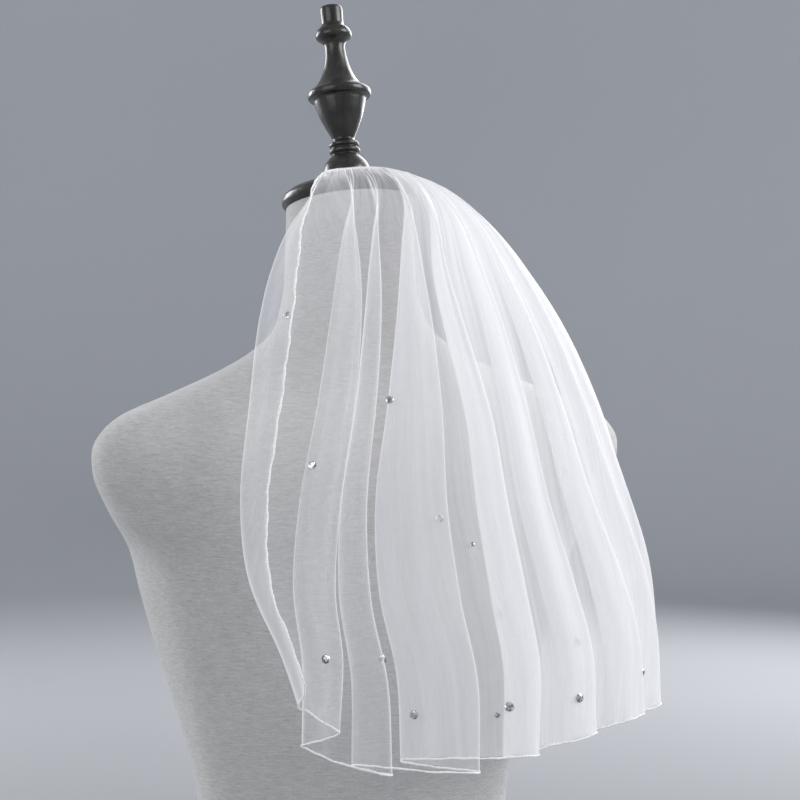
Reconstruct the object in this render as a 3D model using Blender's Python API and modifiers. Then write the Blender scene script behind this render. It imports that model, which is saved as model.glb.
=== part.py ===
"""Short bridal veil on a limbless dress form.

A single layer of tulle is gathered onto a comb, which lies on the turned cap of
the form's neck, behind the finial.  From the comb the cloth runs out over the
cap, then falls behind the form's back in leaning flutes.  A cord closes its cut
edge, down one side, round a corner, along the hem and up the other side.

Lengths are metres and angles degrees.  The form faces -Y, its own left is +X
and it stands on z = 0.  Directions round the form are measured from its back
(+Y), positive towards its own left.
"""

import math

import bmesh
import bpy
import numpy as np

# ---------------------------------------------------------------- driving sizes
SEAM_GAP = 0.0003

NECK_TOP = 0.681
NECK_TILT = 11.0
LEAN_START = 0.60
FORM_SIDES = 36
FORM_RINGS = 32
FORM_EDGE_ANGLE = 50.0

CAP_RADIUS = 0.052
CAP_RIM = 0.0110
CAP_HEIGHT = 0.0205
CAP_FLAT = 0.0200
CAP_BULGE = 0.42 * CAP_RIM
CAP_SLOPE_MIDDLE = 0.70 * CAP_RADIUS
TURNED_STEPS = 24

COMB_TEETH = 13
COMB_ARC = 52.0
COMB_TURN = -9.0
COMB_INNER = 0.0360
COMB_SPINE = 0.0035
COMB_TOOTH = 0.0075
COMB_THICK = 0.0012

HEADING_ARC = 59.0
HEADING_INNER = 0.0365
HEADING_OUTER = 0.0465
HEADING_THICK = 0.0026
HEADING_ROUND = 0.0015
HEADING_GATHERS = 20
GATHER_DEPTH = 0.0008
RIB_STEPS = 3

CLOTH = 0.0012
CLOTH_ROWS = 18
ROW_SPREAD = 1.15
CLOTH_STEPS = (0.0, 0.15, 0.38, 0.62, 0.85)
HEM_SAMPLES = 12
CORNER_FALL = 0.12
CORNER_WIDTH = 0.14
CORNER_ROUND = 2.0

CORD_RADIUS = 0.0008

# One row for each section of the form, from its flat underside to the neck.
FORM_COLUMNS = ("height", "half_width", "front", "back", "centre", "squareness")
FORM_SECTIONS = (
    (0.000, 0.168, 0.112, 0.116, 0.000, 2.3),
    (0.040, 0.172, 0.114, 0.120, 0.000, 2.3),
    (0.110, 0.158, 0.104, 0.114, 0.004, 2.2),
    (0.200, 0.124, 0.090, 0.086, 0.008, 2.1),
    (0.240, 0.126, 0.096, 0.084, 0.010, 2.1),
    (0.300, 0.141, 0.116, 0.088, 0.013, 2.2),
    (0.350, 0.155, 0.138, 0.091, 0.017, 2.3),
    (0.390, 0.167, 0.142, 0.092, 0.020, 2.4),
    (0.425, 0.180, 0.132, 0.091, 0.023, 2.4),
    (0.455, 0.204, 0.116, 0.086, 0.029, 2.2),
    (0.485, 0.220, 0.100, 0.080, 0.033, 2.1),
    (0.508, 0.217, 0.086, 0.073, 0.033, 2.1),
    (0.524, 0.198, 0.073, 0.067, 0.031, 2.1),
    (0.538, 0.161, 0.064, 0.062, 0.026, 2.0),
    (0.552, 0.123, 0.058, 0.058, 0.019, 2.0),
    (0.566, 0.091, 0.054, 0.055, 0.012, 2.0),
    (0.582, 0.067, 0.051, 0.053, 0.006, 2.0),
    (0.606, 0.054, 0.050, 0.051, 0.001, 2.0),
    (0.640, 0.050, 0.049, 0.049, 0.000, 2.0),
    (0.681, 0.049, 0.048, 0.048, 0.000, 2.0),
)

# One row for each height at which the cloth's sweep round the back changes.
# fall is the share of the cloth's length, slope how much each section rises
# towards the back, and swell the share of the folds' full depth.
VEIL_COLUMNS = (
    "fall", "height", "centre", "half_width", "depth", "slope", "left_end", "right_end", "swell",
)
VEIL_LEVELS = (
    (0.00, 0.6971, -0.0030, 0.0482, 0.0473, 0.194, 50.0, -68.0, 0.01),
    (0.03, 0.6935, -0.001, 0.057, 0.053, 0.17, 49.0, -68.0, 0.06),
    (0.07, 0.6880, 0.004, 0.071, 0.060, 0.12, 48.0, -68.0, 0.22),
    (0.12, 0.6750, 0.010, 0.089, 0.070, 0.09, 48.5, -67.0, 0.33),
    (0.19, 0.6510, 0.017, 0.113, 0.083, 0.07, 52.0, -67.0, 0.43),
    (0.26, 0.6225, 0.025, 0.132, 0.094, 0.05, 54.0, -67.0, 0.48),
    (0.33, 0.5940, 0.033, 0.148, 0.103, 0.03, 54.5, -67.0, 0.55),
    (0.47, 0.5340, 0.047, 0.171, 0.118, 0.00, 55.0, -68.0, 0.67),
    (0.62, 0.4690, 0.060, 0.184, 0.131, -0.02, 57.5, -74.0, 0.80),
    (0.75, 0.4120, 0.070, 0.191, 0.138, -0.03, 56.0, -84.0, 0.94),
    (0.87, 0.3590, 0.077, 0.192, 0.142, -0.03, 50.5, -92.0, 1.00),
    (1.00, 0.3020, 0.080, 0.192, 0.144, -0.03, 46.0, -96.0, 1.00),
)

# One row for each turn of the cloth, from its left cut edge to its right one:
# its share of the sweep at the comb, at the neck, half way down and at the hem,
# how far out it stands, and how much higher or lower it hangs at the hem.  A
# share that steps back lays the cloth over itself.
FOLD_COLUMNS = ("at_comb", "at_neck", "at_middle", "at_hem", "out", "rise")
FOLD_TURNS = (
    (0.000, 0.080, 0.070, 0.034, 0.026, 0.018),
    (0.040, 0.000, 0.000, 0.018, 0.000, 0.018),
    (0.150, 0.240, 0.204, 0.064, 0.013, 0.016),
    (0.205, 0.190, 0.134, 0.004, -0.012, 0.008),
    (0.280, 0.298, 0.246, 0.135, 0.009, -0.004),
    (0.345, 0.280, 0.212, 0.082, -0.012, -0.001),
    (0.425, 0.410, 0.374, 0.255, 0.015, -0.004),
    (0.470, 0.368, 0.279, 0.160, -0.010, 0.002),
    (0.560, 0.478, 0.474, 0.348, 0.015, 0.003),
    (0.610, 0.462, 0.446, 0.322, -0.009, -0.001),
    (0.665, 0.605, 0.572, 0.465, 0.012, 0.010),
    (0.700, 0.592, 0.545, 0.450, -0.012, 0.004),
    (0.750, 0.706, 0.678, 0.596, 0.015, 0.015),
    (0.785, 0.692, 0.660, 0.586, -0.011, 0.008),
    (0.825, 0.792, 0.768, 0.706, 0.014, 0.013),
    (0.860, 0.800, 0.772, 0.712, -0.011, 0.007),
    (0.895, 0.878, 0.868, 0.816, 0.012, 0.014),
    (0.930, 0.910, 0.898, 0.850, -0.010, 0.009),
    (0.965, 0.964, 0.962, 0.940, 0.010, 0.017),
    (1.000, 1.000, 1.000, 1.000, -0.006, 0.022),
)
PLACE_FALLS = (0.0, 0.26, 0.52, 1.0)
RISE_START = 0.55
TURN_ROUND = 0.016

# The turned outline of the finial, bottom to top: radius and height.
FINIAL_OUTLINE = (
    (0.0184, 0.0000),
    (0.0187, 0.0028),
    (0.0180, 0.0070),
    (0.0162, 0.0115),
    (0.0130, 0.0155),
    (0.0108, 0.0175),
    (0.0100, 0.0188),
    (0.0116, 0.0203),
    (0.0118, 0.0223),
    (0.0102, 0.0238),
    (0.0114, 0.0253),
    (0.0114, 0.0273),
    (0.0086, 0.0298),
    (0.0092, 0.0328),
    (0.0130, 0.0408),
    (0.0168, 0.0498),
    (0.0194, 0.0588),
    (0.0206, 0.0628),
    (0.0236, 0.0638),
    (0.0246, 0.0664),
    (0.0238, 0.0694),
    (0.0190, 0.0726),
    (0.0140, 0.0791),
    (0.0105, 0.0876),
    (0.0084, 0.0976),
    (0.0080, 0.1056),
    (0.0098, 0.1091),
    (0.0134, 0.1121),
    (0.0140, 0.1151),
    (0.0126, 0.1186),
    (0.0092, 0.1221),
    (0.0086, 0.1256),
    (0.0088, 0.1350),
    (0.0080, 0.1372),
)

COLLECTION = "bridal_veil_on_dress_form"


# ---------------------------------------------------------------- curves and tables
def column(rows, columns, name, at):
    """Value of a named column at each place in `at`, along the first column.

    The curve passes through every row, with the slope at a row taken from its
    two neighbours, so that it bends evenly from row to row.
    """
    table = np.array(rows, dtype=float)
    place = table[:, 0]
    value = table[:, columns.index(name)]
    slope = np.gradient(value, place)
    at = np.clip(np.asarray(at, dtype=float), place[0], place[-1])
    low = np.clip(np.searchsorted(place, at, side="right") - 1, 0, len(place) - 2)
    span = place[low + 1] - place[low]
    part = (at - place[low]) / span
    rise = value[low + 1] - value[low]
    ease = part * part * (3.0 - 2.0 * part)
    leaving = part * (1.0 - part) ** 2 * slope[low] * span
    arriving = part * part * (1.0 - part) * slope[low + 1] * span
    return value[low] + rise * ease + leaving - arriving


def smooth_step(value, low, high):
    """0 below `low`, 1 above `high`, with an even S between them."""
    part = np.clip((np.asarray(value, dtype=float) - low) / (high - low), 0.0, 1.0)
    return part * part * (3.0 - 2.0 * part)


# ---------------------------------------------------------------- objects
def add_object(name, mesh, material):
    """Link a mesh as a named object with one material."""
    mesh.materials.append(material)
    item = bpy.data.objects.new(name, mesh)
    bpy.data.collections[COLLECTION].objects.link(item)
    return item


def make_material(name, color, roughness):
    """A plain Principled material."""
    material = bpy.data.materials.new(name)
    material.use_nodes = True
    shader = material.node_tree.nodes["Principled BSDF"]
    shader.inputs["Base Color"].default_value = (*color, 1.0)
    shader.inputs["Roughness"].default_value = roughness
    return material


def grid_mesh(name, points, around=False):
    """Mesh of quads on a grid of points; `around` closes each row on itself."""
    rows, steps = points.shape[:2]
    mesh = bmesh.new()
    verts = [mesh.verts.new(point) for point in points.reshape(-1, 3)]
    last = steps if around else steps - 1
    for row in range(rows - 1):
        for step in range(last):
            after = (step + 1) % steps
            corners = (
                row * steps + step,
                row * steps + after,
                (row + 1) * steps + after,
                (row + 1) * steps + step,
            )
            mesh.faces.new([verts[corner] for corner in corners])
    if around:
        mesh.faces.new([verts[step] for step in reversed(range(steps))])
        mesh.faces.new([verts[(rows - 1) * steps + step] for step in range(steps)])
    bmesh.ops.recalc_face_normals(mesh, faces=mesh.faces)
    data = bpy.data.meshes.new(name)
    mesh.to_mesh(data)
    mesh.free()
    data.shade_smooth()
    return data


def thicken(item, thickness):
    """Turn an open sheet into a wall, half to each side."""
    wall = item.modifiers.new("wall", "SOLIDIFY")
    wall.thickness = thickness
    wall.offset = 0.0


def turned(name, outline, material):
    """Solid of revolution from (radius, height) points, top of the axis to bottom."""
    curve = bmesh.new()
    verts = [curve.verts.new((radius, 0.0, height)) for radius, height in outline]
    for upper, lower in zip(verts, verts[1:]):
        curve.edges.new((upper, lower))
    data = bpy.data.meshes.new(name)
    curve.to_mesh(data)
    curve.free()
    item = add_object(name, data, material)
    screw = item.modifiers.new("turn", "SCREW")
    screw.steps = TURNED_STEPS
    screw.render_steps = TURNED_STEPS
    screw.use_merge_vertices = True
    screw.merge_threshold = 0.00001
    screw.use_smooth_shade = True
    return item


# ---------------------------------------------------------------- dress form
def form_body(material):
    """The form's trunk, neck and rounded shoulders, as one loft."""
    heights = form_heights()
    turn = np.linspace(0.0, 2.0 * math.pi, FORM_SIDES, endpoint=False)
    points = np.empty((len(heights), FORM_SIDES, 3))
    for row, height in enumerate(heights):
        points[row] = form_ring(height, turn)
    data = grid_mesh("form_body", points, around=True)
    data.set_sharp_from_angle(angle=math.radians(FORM_EDGE_ANGLE))
    return add_object("form_body", data, material)


def form_heights():
    """Ring heights, closer together where the shoulders turn into the neck."""
    even = np.linspace(0.0, 1.0, FORM_RINGS)
    rows = np.array(FORM_SECTIONS)[:, 0]
    places = np.linspace(0.0, 1.0, len(rows))
    return np.interp(even, places, rows)


def form_ring(height, turn):
    """One section: a rounded oval, fuller at the front or back as its row says."""
    half_width, front, back, centre, square = (
        float(column(FORM_SECTIONS, FORM_COLUMNS, name, height)) for name in FORM_COLUMNS[1:]
    )
    power = 2.0 / square
    across = np.sign(np.cos(turn)) * np.abs(np.cos(turn)) ** power
    along = np.sign(np.sin(turn)) * np.abs(np.sin(turn)) ** power
    depth = np.where(along > 0.0, back, front)
    y = centre + depth * along
    lean = smooth_step(height, LEAN_START, NECK_TOP) * math.tan(math.radians(NECK_TILT))
    return np.stack([half_width * across, y, height + lean * y], axis=1)


def on_neck(item, height=0.0):
    """Stand a turned piece on the neck's sloping top, `height` up its axis."""
    tilt = math.radians(NECK_TILT)
    up = SEAM_GAP + height
    item.location = (0.0, -up * math.sin(tilt), NECK_TOP + up * math.cos(tilt))
    item.rotation_euler = (tilt, 0.0, 0.0)


def cap_surface(radius):
    """Height of the cap's sloping top above its underside."""
    slope = (CAP_HEIGHT - CAP_RIM) / (CAP_RADIUS - CAP_FLAT)
    return CAP_HEIGHT - slope * (radius - CAP_FLAT)


def neck_cap(material):
    """Turned cap: a flat seat for the finial, a sloping top and a rounded rim."""
    middle = CAP_RIM / 2.0
    rim = [math.radians(angle) for angle in (60, 30, 0, -30, -60)]
    inside = CAP_RADIUS - CAP_BULGE
    outline = [(0.0, CAP_HEIGHT), (CAP_FLAT, CAP_HEIGHT)]
    outline += [(CAP_SLOPE_MIDDLE, cap_surface(CAP_SLOPE_MIDDLE))]
    outline += [
        (inside + CAP_BULGE * math.cos(angle), middle + middle * math.sin(angle)) for angle in rim
    ]
    outline += [(inside, 0.0), (0.0, 0.0)]
    item = turned("neck_cap", outline, material)
    on_neck(item)
    return item


def finial(material):
    """Turned finial: bell foot, twin rings, urn with a flange, and a knob."""
    outline = [(0.0, FINIAL_OUTLINE[-1][1])]
    outline += list(reversed(FINIAL_OUTLINE))
    outline += [(0.0, 0.0)]
    item = turned("finial", outline, material)
    on_neck(item, CAP_HEIGHT + SEAM_GAP)
    return item


# ---------------------------------------------------------------- comb and heading
def on_cap(radius, around, lift):
    """World point `lift` above the cap's slope, `radius` out and `around` the back."""
    slope = math.atan((CAP_HEIGHT - CAP_RIM) / (CAP_RADIUS - CAP_FLAT))
    tilt = math.radians(NECK_TILT)
    turn = np.radians(around)
    out = radius + lift * math.sin(slope)
    up = cap_surface(radius) + lift * math.cos(slope) + SEAM_GAP
    y = out * np.cos(turn)
    return np.stack(
        [
            out * np.sin(turn),
            y * math.cos(tilt) - up * math.sin(tilt),
            NECK_TOP + y * math.sin(tilt) + up * math.cos(tilt),
        ],
        axis=-1,
    )


def comb(material):
    """Comb lying on the cap: a spine with teeth that point out to the rim."""
    edges = COMB_TURN + np.linspace(COMB_ARC, -COMB_ARC, 2 * COMB_TEETH)
    radii = (COMB_INNER, COMB_INNER + COMB_SPINE, COMB_INNER + COMB_SPINE + COMB_TOOTH)
    lift = SEAM_GAP + COMB_THICK / 2.0
    mesh = bmesh.new()
    rings = [[mesh.verts.new(on_cap(radius, edge, lift)) for edge in edges] for radius in radii]
    for step in range(len(edges) - 1):
        mesh.faces.new((rings[0][step], rings[1][step], rings[1][step + 1], rings[0][step + 1]))
        if step % 2 == 0:
            mesh.faces.new((rings[1][step], rings[2][step], rings[2][step + 1], rings[1][step + 1]))
    bmesh.ops.recalc_face_normals(mesh, faces=mesh.faces)
    data = bpy.data.meshes.new("comb")
    mesh.to_mesh(data)
    mesh.free()
    item = add_object("comb", data, material)
    thicken(item, COMB_THICK)
    return item


def heading(material):
    """The gathered heading sewn along the comb's spine: a soft ribbed band."""
    around = COMB_TURN + np.linspace(HEADING_ARC, -HEADING_ARC, RIB_STEPS * HEADING_GATHERS + 1)
    ribs = 0.5 - 0.5 * np.cos(np.linspace(0.0, 2.0 * math.pi * HEADING_GATHERS, len(around)))
    low = np.full_like(around, 2.0 * SEAM_GAP + COMB_THICK)
    top = low + HEADING_THICK - GATHER_DEPTH * ribs
    middle = 0.5 * (low + top)
    section = (
        (HEADING_INNER, middle),
        (HEADING_INNER + HEADING_ROUND, top),
        (HEADING_OUTER - HEADING_ROUND, top),
        (HEADING_OUTER, middle),
        (HEADING_OUTER - HEADING_ROUND, low),
        (HEADING_INNER + HEADING_ROUND, low),
    )
    points = np.stack([on_cap(radius, around, lift) for radius, lift in section], axis=1)
    data = grid_mesh("heading", points, around=True)
    return add_object("heading", data, material)


# ---------------------------------------------------------------- veil
def turn_place(turn, fall):
    """Share of the sweep where a turn of the cloth lies, eased from place to place."""
    falls = np.array(PLACE_FALLS)
    places = np.array(FOLD_TURNS)[:, : len(falls)]
    slopes = np.gradient(places, falls, axis=1)
    slopes[:, 0] = 0.0
    low = np.clip(np.searchsorted(falls, fall, side="right") - 1, 0, len(falls) - 2)
    span = falls[low + 1] - falls[low]
    part = (fall - falls[low]) / span
    start, end = places[turn, low], places[turn, low + 1]
    leaving = slopes[turn, low] * span * part * (1.0 - part) ** 2
    arriving = slopes[turn, low + 1] * span * part * part * (1.0 - part)
    return start + (end - start) * part * part * (3.0 - 2.0 * part) + leaving - arriving


def turn_value(name):
    """Lookup of a column of the turns that does not change down the cloth."""
    values = np.array(FOLD_TURNS)[:, FOLD_COLUMNS.index(name)]
    return lambda turn: values[turn]


def round_turns(value_of, across, inward=0.0):
    """Even curve through the turns' values.

    Each bend leaves along its neighbours' chord, less `inward` for each turn, which
    carries the cloth inward as it turns back and so keeps its layers apart.
    """
    last = len(FOLD_TURNS) - 1
    low = np.clip(np.floor(across).astype(int), 0, last - 1)
    part = across - low
    before, start, end, after = (value_of(np.clip(low + step, 0, last)) for step in (-1, 0, 1, 2))
    leaving = (0.5 * (end - before) - inward) * part * (1.0 - part) ** 2
    arriving = (0.5 * (after - start) - inward) * part * part * (1.0 - part)
    return start + (end - start) * part * part * (3.0 - 2.0 * part) + leaving - arriving


def veil_point(across, fall):
    """Middle of the cloth at `across` (in turns, from the left) and `fall` (0 comb, 1 hem).

    The sweep is an oval arc behind the form.  Along it the cloth winds from turn
    to turn, each at its own place and standing its own way out or in.
    """
    across, fall = np.broadcast_arrays(np.asarray(across, float), np.asarray(fall, float))
    level = {
        name: column(VEIL_LEVELS, VEIL_COLUMNS, name, fall) for name in VEIL_COLUMNS[1:]
    }
    share = round_turns(lambda turn: turn_place(turn, fall), across)
    out = round_turns(turn_value("out"), across, TURN_ROUND) * level["swell"]
    rise = round_turns(turn_value("rise"), across) * smooth_step(fall, RISE_START, 1.0)
    turn = np.radians(level["left_end"] + (level["right_end"] - level["left_end"]) * share)
    x = level["half_width"] * np.sin(turn)
    y = level["centre"] + level["depth"] * np.cos(turn)
    normal_x = np.sin(turn) * level["depth"]
    normal_y = np.cos(turn) * level["half_width"]
    length = np.hypot(normal_x, normal_y)
    z = level["height"] + level["slope"] * y + rise
    return np.stack([x + out * normal_x / length, y + out * normal_y / length, z], axis=-1)


def cloth_share(across):
    """Share of the cloth's width at each turn place, measured along the cloth."""
    last = len(FOLD_TURNS) - 1
    fine = np.linspace(0.0, last, last * HEM_SAMPLES + 1)
    line = veil_point(fine, 1.0)
    run = np.r_[0.0, np.cumsum(np.linalg.norm(np.diff(line, axis=0), axis=1))]
    return np.interp(across, fine, run / run[-1])


def cut_length(across):
    """Share of the full length at `across`: a soft rounded cut takes off each corner."""
    share = cloth_share(across)
    side = np.minimum(share, 1.0 - share)
    inside = np.clip(1.0 - side / CORNER_WIDTH, 0.0, 1.0)
    return 1.0 - CORNER_FALL * (1.0 - (1.0 - inside**CORNER_ROUND) ** (1.0 / CORNER_ROUND))


def veil_grid():
    """Points of the cloth's middle: rows from comb to hem, steps from left to right."""
    across = np.add.outer(np.arange(len(FOLD_TURNS) - 1), CLOTH_STEPS).ravel()
    across = np.append(across, len(FOLD_TURNS) - 1.0)
    rows = np.linspace(0.0, 1.0, CLOTH_ROWS + 1) ** ROW_SPREAD
    return veil_point(across[None, :], rows[:, None] * cut_length(across)[None, :])


def veil_panel(material):
    """The tulle itself, as one wall."""
    item = add_object("veil_panel", grid_mesh("veil_panel", veil_grid()), material)
    thicken(item, CLOTH)
    return item


def beside_edge(edge, inner, distance):
    """Points `distance` outside an edge, in the cloth's plane and square to the edge."""
    along = np.gradient(edge, axis=0)
    along /= np.linalg.norm(along, axis=1, keepdims=True)
    away = edge - inner
    away -= np.sum(away * along, axis=1, keepdims=True) * along
    return edge + distance * away / np.linalg.norm(away, axis=1, keepdims=True)


def edge_cord(material):
    """Cord along the cut edge, just outside it: left side, hem, right side."""
    grid = veil_grid()
    reach = CORD_RADIUS + 2.0 * SEAM_GAP
    left = beside_edge(grid[1:, 0], grid[1:, 1], reach)
    hem = beside_edge(grid[-1], grid[-2], reach)
    right = beside_edge(grid[:0:-1, -1], grid[:0:-1, -2], reach)
    route = np.concatenate([left, hem, right])
    curve = bpy.data.curves.new("edge_cord", "CURVE")
    curve.dimensions = "3D"
    curve.bevel_depth = CORD_RADIUS
    curve.bevel_resolution = 1
    curve.use_fill_caps = True
    spline = curve.splines.new("POLY")
    spline.points.add(len(route) - 1)
    spline.points.foreach_set("co", np.c_[route, np.ones(len(route))].ravel())
    curve.materials.append(material)
    item = bpy.data.objects.new("edge_cord", curve)
    bpy.data.collections[COLLECTION].objects.link(item)
    return item


# ---------------------------------------------------------------- build
def main():
    for item in list(bpy.data.objects):
        bpy.data.objects.remove(item, do_unlink=True)
    collection = bpy.data.collections.new(COLLECTION)
    bpy.context.scene.collection.children.link(collection)
    jersey = make_material("form_jersey", (0.78, 0.77, 0.75), 0.9)
    wood = make_material("dark_wood", (0.035, 0.028, 0.022), 0.35)
    clear = make_material("comb_plastic", (0.82, 0.82, 0.80), 0.3)
    tulle = make_material("tulle", (0.93, 0.93, 0.93), 0.7)
    cord = make_material("edge_thread", (0.95, 0.95, 0.95), 0.6)
    form_body(jersey)
    neck_cap(wood)
    finial(wood)
    comb(clear)
    heading(tulle)
    veil_panel(tulle)
    edge_cord(cord)


main()
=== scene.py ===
"""Short bridal veil of white tulle on a limbless dress form: finished surfaces and looks.

The dress form faces -Y, its own left is +X and it stands on z = 0.  Lengths are
metres and angles degrees.  Directions round the form are measured from its back
(+Y), positive towards its own left.
"""

import logging
import math
from dataclasses import dataclass
from enum import Enum
from typing import Callable

import bpy
import numpy as np
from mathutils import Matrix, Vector


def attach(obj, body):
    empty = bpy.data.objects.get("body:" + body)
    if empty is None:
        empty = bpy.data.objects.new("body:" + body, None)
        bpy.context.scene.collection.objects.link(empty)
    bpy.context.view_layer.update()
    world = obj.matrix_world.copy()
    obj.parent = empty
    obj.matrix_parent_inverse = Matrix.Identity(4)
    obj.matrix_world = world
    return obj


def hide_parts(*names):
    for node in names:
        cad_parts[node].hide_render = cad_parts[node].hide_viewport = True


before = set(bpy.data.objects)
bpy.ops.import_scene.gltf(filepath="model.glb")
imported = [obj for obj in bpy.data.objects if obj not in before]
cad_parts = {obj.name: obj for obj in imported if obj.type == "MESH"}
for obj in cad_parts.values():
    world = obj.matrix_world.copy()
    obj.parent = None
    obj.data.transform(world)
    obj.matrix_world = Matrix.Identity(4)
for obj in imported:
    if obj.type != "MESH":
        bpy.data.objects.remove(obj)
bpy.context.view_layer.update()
LOG = logging.getLogger("bridal_veil")
ROOT = "root"


# ---------------------------------------------------------------- shared number work
class Side(Enum):
    """Which face of the tulle something is sewn to."""

    OUTER = 1.0
    INNER = -1.0


def column(rows: tuple, columns: tuple, name: str, at: np.ndarray) -> np.ndarray:
    """Read a named column of a table as an even curve along its first column.

    Formula: cubic Hermite between rows, each row's slope being the mean slope of
    its two neighbours.

    Args:
        rows: the table, ordered by its first column.
        columns: names of the table's columns.
        name: the column to read.
        at: places along the first column.

    Returns:
        The column's value at each place.
    """
    table = np.array(rows, dtype=float)
    place = table[:, 0]
    value = table[:, columns.index(name)]
    slope = np.gradient(value, place)
    at = np.clip(np.asarray(at, dtype=float), place[0], place[-1])
    low = np.clip(np.searchsorted(place, at, side="right") - 1, 0, len(place) - 2)
    span = place[low + 1] - place[low]
    part = (at - place[low]) / span
    ease = part * part * (3.0 - 2.0 * part)
    leaving = part * (1.0 - part) ** 2 * slope[low] * span
    arriving = part * part * (1.0 - part) * slope[low + 1] * span
    return value[low] + (value[low + 1] - value[low]) * ease + leaving - arriving


def smooth_step(value: np.ndarray, low: float, high: float) -> np.ndarray:
    """0 below `low`, 1 above `high`, with 3t^2 - 2t^3 between them."""
    part = np.clip((np.asarray(value, dtype=float) - low) / (high - low), 0.0, 1.0)
    return part * part * (3.0 - 2.0 * part)


def unit(vectors: np.ndarray) -> np.ndarray:
    """Scale vectors on the last axis to length 1."""
    return vectors / np.maximum(np.linalg.norm(vectors, axis=-1, keepdims=True), 1e-12)


def run_along(points: np.ndarray) -> np.ndarray:
    """Length run along a route, from its first point to each of its points."""
    steps = np.linalg.norm(np.diff(points, axis=0), axis=1)
    return np.concatenate([[0.0], np.cumsum(steps)])


def grid_normals(points: np.ndarray) -> np.ndarray:
    """Unit normals of a grid of points: the cross product of its two gradients.

    Args:
        points: rows x steps x 3 grid.

    Returns:
        A normal for each point, on the same grid.
    """
    down = np.gradient(points, axis=0)
    across = np.gradient(points, axis=1)
    return unit(np.cross(across, down))


# ---------------------------------------------------------------- meshes
def grid_faces(rows: int, steps: int, around: bool = False) -> np.ndarray:
    """Corner numbers of the quads of a grid.

    Args:
        rows: rows of points.
        steps: points in each row.
        around: whether each row closes on itself.

    Returns:
        One row of four corners for each quad.
    """
    row = np.arange(rows - 1)[:, None]
    step = np.arange(steps if around else steps - 1)[None, :]
    after = (step + 1) % steps
    upper, lower = row * steps, (row + 1) * steps
    corners = (upper + step, upper + after, lower + after, lower + step)
    return np.stack([np.broadcast_to(c, (rows - 1, step.size)) for c in corners], axis=-1).reshape(-1, 4)


def new_piece(
    name: str, points: np.ndarray, faces: np.ndarray, caps: tuple = (), smooth: bool = True
) -> bpy.types.Object:
    """Make a mesh object from arrays, at the origin and unturned.

    Args:
        name: name of the piece.
        points: vertex positions.
        faces: equal-sided faces, one row each.
        caps: further faces of any number of corners.
        smooth: whether faces are shaded smooth.

    Returns:
        The new object, linked to the scene.
    """
    mesh = bpy.data.meshes.new(name)
    points = np.asarray(points, dtype=np.float32).reshape(-1, 3)
    loops = np.concatenate([faces.ravel()] + [np.asarray(cap) for cap in caps]).astype(np.int32)
    sizes = np.concatenate([np.full(len(faces), faces.shape[1]), [len(cap) for cap in caps]]).astype(np.int32)
    starts = np.concatenate([[0], np.cumsum(sizes)[:-1]]).astype(np.int32)
    mesh.vertices.add(len(points))
    mesh.vertices.foreach_set("co", points.ravel())
    mesh.loops.add(len(loops))
    mesh.loops.foreach_set("vertex_index", loops)
    mesh.polygons.add(len(sizes))
    mesh.polygons.foreach_set("loop_start", starts)
    mesh.polygons.foreach_set("use_smooth", np.full(len(sizes), smooth))
    mesh.update(calc_edges=True)
    mesh.validate()
    item = bpy.data.objects.new(name, mesh)
    bpy.context.scene.collection.objects.link(item)
    return item


def lay_out(item: bpy.types.Object, values: np.ndarray) -> None:
    """Store a UV place, given for each vertex, on the corners of a piece's faces.

    Args:
        item: the piece.
        values: one (u, v) row for each vertex.
    """
    mesh = item.data
    corners = np.empty(len(mesh.loops), dtype=np.int32)
    mesh.loops.foreach_get("vertex_index", corners)
    layer = mesh.uv_layers.new(name="UVMap")
    layer.data.foreach_set("uv", np.asarray(values, dtype=np.float32)[corners].ravel())


def lathe(outline: np.ndarray, sides: int) -> tuple:
    """Turn an outline round the Z axis: (r, h) becomes (r cos t, r sin t, h).

    Args:
        outline: (radius, height) rows from bottom to top, away from the axis.
        sides: points round the axis.

    Returns:
        Points, quads, and the two closing caps.
    """
    turn = np.linspace(0.0, 2.0 * math.pi, sides, endpoint=False)
    radius = outline[:, 0][:, None]
    height = np.broadcast_to(outline[:, 1][:, None], (len(outline), sides))
    points = np.stack([radius * np.cos(turn), radius * np.sin(turn), height], axis=-1)
    bottom = tuple(reversed(range(sides)))
    top = tuple((len(outline) - 1) * sides + step for step in range(sides))
    return points, grid_faces(len(outline), sides, around=True), (bottom, top)


def tube(route: np.ndarray, radius: np.ndarray, sides: int, aside: tuple) -> tuple:
    """Carry a circle along a route.

    Formula: the circle at each point lies across the tangent, on the unit vector
    square to the tangent and to `aside`, and on the cross product of the two.

    Args:
        route: points of the route.
        radius: radius at each point.
        sides: points round the tube.
        aside: a direction that the route never runs along.

    Returns:
        Points, quads and caps.
    """
    along = unit(np.gradient(route, axis=0))
    sideways = unit(np.cross(along, np.array(aside)))
    upward = np.cross(along, sideways)
    turn = np.linspace(0.0, 2.0 * math.pi, sides, endpoint=False)[None, :, None]
    ring = np.cos(turn) * sideways[:, None, :] + np.sin(turn) * upward[:, None, :]
    points = route[:, None, :] + np.asarray(radius)[:, None, None] * ring
    last = (len(route) - 1) * sides
    caps = (tuple(reversed(range(sides))), tuple(range(last, last + sides)))
    return points, grid_faces(len(route), sides, around=True), caps


# ---------------------------------------------------------------- shader helpers
Socket = bpy.types.NodeSocket
Feed = Socket | float | tuple


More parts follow.
